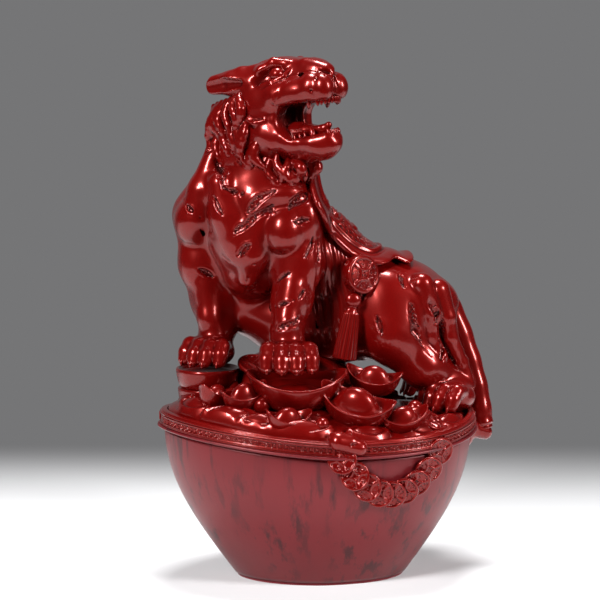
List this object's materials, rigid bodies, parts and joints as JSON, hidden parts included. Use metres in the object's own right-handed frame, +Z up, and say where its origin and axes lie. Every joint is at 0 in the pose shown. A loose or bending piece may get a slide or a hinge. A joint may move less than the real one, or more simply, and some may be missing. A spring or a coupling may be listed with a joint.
{
  "type": "tiger statue on a treasure ingot",
  "caption": "Desk ornament: a roaring tiger leaning its forepaws on a heap of ingots and coins that fills a boat-shaped base, with saddle cloth, tassels and a hanging string of coins.",
  "frame": {"origin": "middle of the felt-covered resting face", "axes": "+Z up; +X towards the stern, where the tiger's tail hangs; -Y towards the side with the coin string and the tiger's left flank"},
  "size_m": [0.1323, 0.0954, 0.1979],
  "materials": {
    "lacquer": "deep red gloss lacquer over carved resin, dark in the crevices",
    "satin_lacquer": "satin red lacquer with faint dark upright grain",
    "felt": "pressed felt"
  },
  "bodies": {
    "root": {"claws": "lacquer", "closing_plate": "satin_lacquer", "cloth_border": "lacquer", "eye_left": "lacquer", "eye_right": "lacquer", "felt_pad": "felt", "foreleg_left": "lacquer", "foreleg_right": "lacquer", "forepaw_left": "lacquer", "forepaw_right": "lacquer", "fret_panels": "lacquer", "head": "lacquer", "heap_bars": "lacquer", "heap_beads": "lacquer", "heap_coin_1": "lacquer", "heap_coin_2": "lacquer", "heap_coin_3": "lacquer", "heap_coin_4": "lacquer", "heap_coin_5": "lacquer", "heap_ingot_1": "lacquer", "heap_ingot_2": "lacquer", "heap_ingot_3": "lacquer", "heap_ingot_4": "lacquer", "heap_ingot_5": "lacquer", "heap_ingot_6": "lacquer", "heap_ingot_7": "lacquer", "hindleg_left": "lacquer", "hindleg_right": "lacquer", "hindpaw_left": "lacquer", "hindpaw_right": "lacquer", "ingot_bowl": "satin_lacquer", "lower_jaw": "lacquer", "lower_teeth": "lacquer", "mane": "lacquer", "medallion_left": "lacquer", "medallion_right": "lacquer", "paw_dish": "lacquer", "paw_stack_high": "lacquer", "paw_stack_low": "lacquer", "rim_band": "lacquer", "rim_lip": "lacquer", "saddle_cloth": "lacquer", "string_boss": "lacquer", "string_coin_1": "lacquer", "string_coin_2": "lacquer", "string_coin_3": "lacquer", "string_coin_4": "lacquer", "string_coin_5": "lacquer", "string_coin_6": "lacquer", "string_coin_7": "lacquer", "string_coin_8": "lacquer", "string_coin_9": "lacquer", "tail": "lacquer", "tail_perch": "lacquer", "tassel_left": "lacquer", "tassel_right": "lacquer", "tongue": "lacquer", "torso": "lacquer", "treasure_bed": "lacquer", "upper_teeth": "lacquer"}
  },
  "joints": []
}
